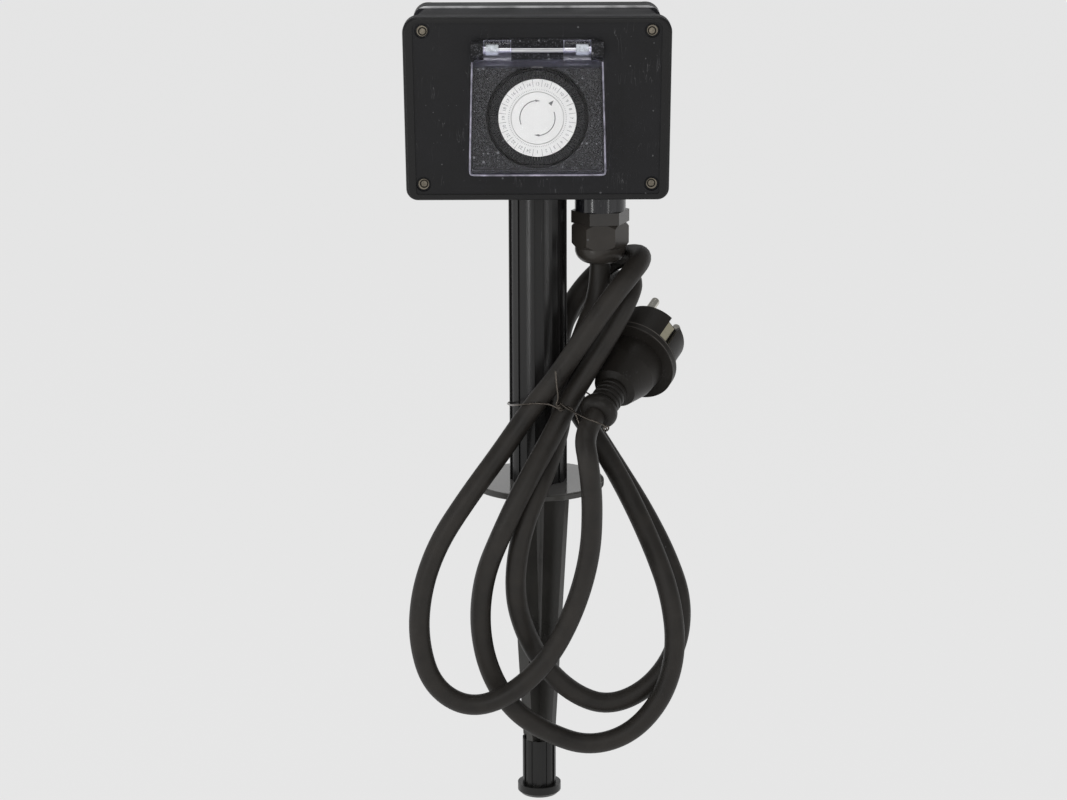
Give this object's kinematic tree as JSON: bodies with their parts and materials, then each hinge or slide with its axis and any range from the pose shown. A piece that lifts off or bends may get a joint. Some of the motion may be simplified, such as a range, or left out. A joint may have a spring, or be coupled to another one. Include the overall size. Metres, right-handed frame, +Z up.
{
  "type": "timer power strip",
  "caption": "Garden socket post on a ground spike: a box with a day timer under a clear flap in front, lidded sockets behind and a plug lead tied in loops to its ribbed post.",
  "frame": {"origin": "on the post's axis at the underside of the ground disc, the level of the ground's surface", "axes": "+Z up along the post, +X to the right seen from the timer's side, the timer faces -Y and the sockets face +Y"},
  "size_m": [0.1508, 0.1239, 0.4322],
  "materials": {
    "cover_plastic": "satin near-black plastic, slightly bluish",
    "panel_plastic": "fine stippled dark grey plastic",
    "clear_plastic": "clear moulded plastic with a slight violet tint",
    "bright_steel": "bright plated steel",
    "bronze_screw": "dull bronze coloured plating",
    "seal_rubber": "soft black foam rubber",
    "socket_plastic": "black moulded plastic",
    "lid_plastic": "black moulded plastic",
    "contact_brass": "plain brass",
    "spring_steel": "thin plated spring strip",
    "dial_white": "white plastic printed in black",
    "dial_black": "black moulded plastic",
    "spindle_steel": "turned steel",
    "pinion_nylon": "natural nylon",
    "motor_steel": "plated sheet steel can",
    "works_plastic": "dark grey plastic",
    "post_plastic": "black extruded and moulded plastic with a soft sheen",
    "guard_plastic": "soft black plastic",
    "gland_nylon": "black nylon",
    "lead_rubber": "matte black-brown rubber jacket",
    "terminal_plastic": "pale nylon",
    "core_insulation": "smooth insulation",
    "tie_coat": "dark coated wire",
    "plug_rubber": "black moulded rubber",
    "plug_pin_metal": "nickel plated brass",
    "plug_earth_metal": "pale plated brass strip"
  },
  "bodies": {
    "root": {"front_cover": "cover_plastic", "main_housing": "cover_plastic", "rear_cover": "cover_plastic", "timer_panel": "panel_plastic", "flap_hinge_pin": "bright_steel", "lid_pins": "bright_steel", "cover_screws": "bronze_screw", "rear_screws": "bronze_screw", "post_screws": "bronze_screw", "cover_seal": "seal_rubber", "rear_seal": "seal_rubber", "gland_seal": "seal_rubber", "socket_insert_left": "socket_plastic", "socket_insert_right": "socket_plastic", "socket_contacts": "contact_brass", "terminal_screws": "contact_brass", "earth_clips": "spring_steel", "dial_centre": "dial_white", "dial_spindle": "spindle_steel", "timer_motor": "motor_steel", "timer_case": "works_plastic", "timer_deck": "works_plastic", "microswitch": "works_plastic", "post_tube": "post_plastic", "ground_spike": "post_plastic", "gland_body": "gland_nylon", "gland_nut": "gland_nylon", "gland_lock_nut": "gland_nylon", "supply_cord_entry": "lead_rubber", "supply_cord_exit": "lead_rubber", "supply_cord_hank": "lead_rubber", "terminal_block": "terminal_plastic", "core_wires": "core_insulation", "tie_wire": "tie_coat", "plug_body": "plug_rubber", "plug_pins": "plug_pin_metal", "plug_earth_contacts": "plug_earth_metal"},
    "timer_flap": {"timer_flap": "clear_plastic"},
    "dial": {"dial_drum": "dial_black", "dial_face": "dial_white"},
    "motor_pinion": {"motor_pinion": "pinion_nylon"},
    "switch_lever": {"switch_lever": "spring_steel"},
    "socket_lid_left": {"socket_lid_left": "lid_plastic"},
    "socket_lid_right": {"socket_lid_right": "lid_plastic"},
    "tip_guard": {"tip_guard": "guard_plastic"},
    "hour_tabs_1": {"hour_tabs_1": "dial_black"},
    "hour_tabs_2": {"hour_tabs_2": "dial_black"},
    "hour_tabs_3": {"hour_tabs_3": "dial_black"},
    "hour_tabs_4": {"hour_tabs_4": "dial_black"},
    "hour_tabs_5": {"hour_tabs_5": "dial_black"},
    "hour_tabs_6": {"hour_tabs_6": "dial_black"},
    "hour_tabs_7": {"hour_tabs_7": "dial_black"},
    "hour_tabs_8": {"hour_tabs_8": "dial_black"}
  },
  "joints": [
    {"name": "flap_hinge", "type": "hinge", "parent": "root", "child": "timer_flap", "pos_m": [0, -0.052, 0.2404], "axis": [-1, 0, 0], "range_deg": [0, 170]},
    {"name": "dial_turn", "type": "hinge", "parent": "root", "child": "dial", "pos_m": [0, -0.045, 0.2058], "axis": [0, 1, 0], "continuous": true},
    {"name": "pinion_turn", "type": "hinge", "parent": "root", "child": "motor_pinion", "pos_m": [0, -0.035, 0.1842], "axis": [0, 1, 0], "continuous": true},
    {"name": "lever_tilt", "type": "hinge", "parent": "root", "child": "switch_lever", "pos_m": [0, -0.0384, 0.2339], "axis": [1, 0, 0], "range_deg": [0, 20]},
    {"name": "left_lid_hinge", "type": "hinge", "parent": "root", "child": "socket_lid_left", "pos_m": [-0.031, 0.0516, 0.2363], "axis": [1, 0, 0], "range_deg": [0, 110], "stiffness_Nm_per_rad": 0.01, "springref_deg": -20.05},
    {"name": "right_lid_hinge", "type": "hinge", "parent": "root", "child": "socket_lid_right", "pos_m": [0.031, 0.0516, 0.2363], "axis": [1, 0, 0], "range_deg": [0, 110], "stiffness_Nm_per_rad": 0.01, "springref_deg": -20.05},
    {"name": "tip_guard_slide", "type": "slide", "parent": "root", "child": "tip_guard", "axis": [0, 0, -1], "range_m": [0, 0.035]},
    {"name": "hour_tabs_1_slide", "type": "slide", "parent": "dial", "child": "hour_tabs_1", "axis": [0, 1, 0], "range_m": [0, 0.002]},
    {"name": "hour_tabs_2_slide", "type": "slide", "parent": "dial", "child": "hour_tabs_2", "axis": [0, 1, 0], "range_m": [0, 0.002]},
    {"name": "hour_tabs_3_slide", "type": "slide", "parent": "dial", "child": "hour_tabs_3", "axis": [0, 1, 0], "range_m": [0, 0.002]},
    {"name": "hour_tabs_4_slide", "type": "slide", "parent": "dial", "child": "hour_tabs_4", "axis": [0, 1, 0], "range_m": [0, 0.002]},
    {"name": "hour_tabs_5_slide", "type": "slide", "parent": "dial", "child": "hour_tabs_5", "axis": [0, 1, 0], "range_m": [0, 0.002]},
    {"name": "hour_tabs_6_slide", "type": "slide", "parent": "dial", "child": "hour_tabs_6", "axis": [0, 1, 0], "range_m": [0, 0.002]},
    {"name": "hour_tabs_7_slide", "type": "slide", "parent": "dial", "child": "hour_tabs_7", "axis": [0, 1, 0], "range_m": [0, 0.002]},
    {"name": "hour_tabs_8_slide", "type": "slide", "parent": "dial", "child": "hour_tabs_8", "axis": [0, 1, 0], "range_m": [0, 0.002]}
  ],
  "couplings": [
    {"joint": "pinion_turn", "follows": "dial_turn", "ratio": -5},
    {"joint": "lever_tilt", "follows": "hour_tabs_3_slide", "rad_per_m": 165.8}
  ]
}
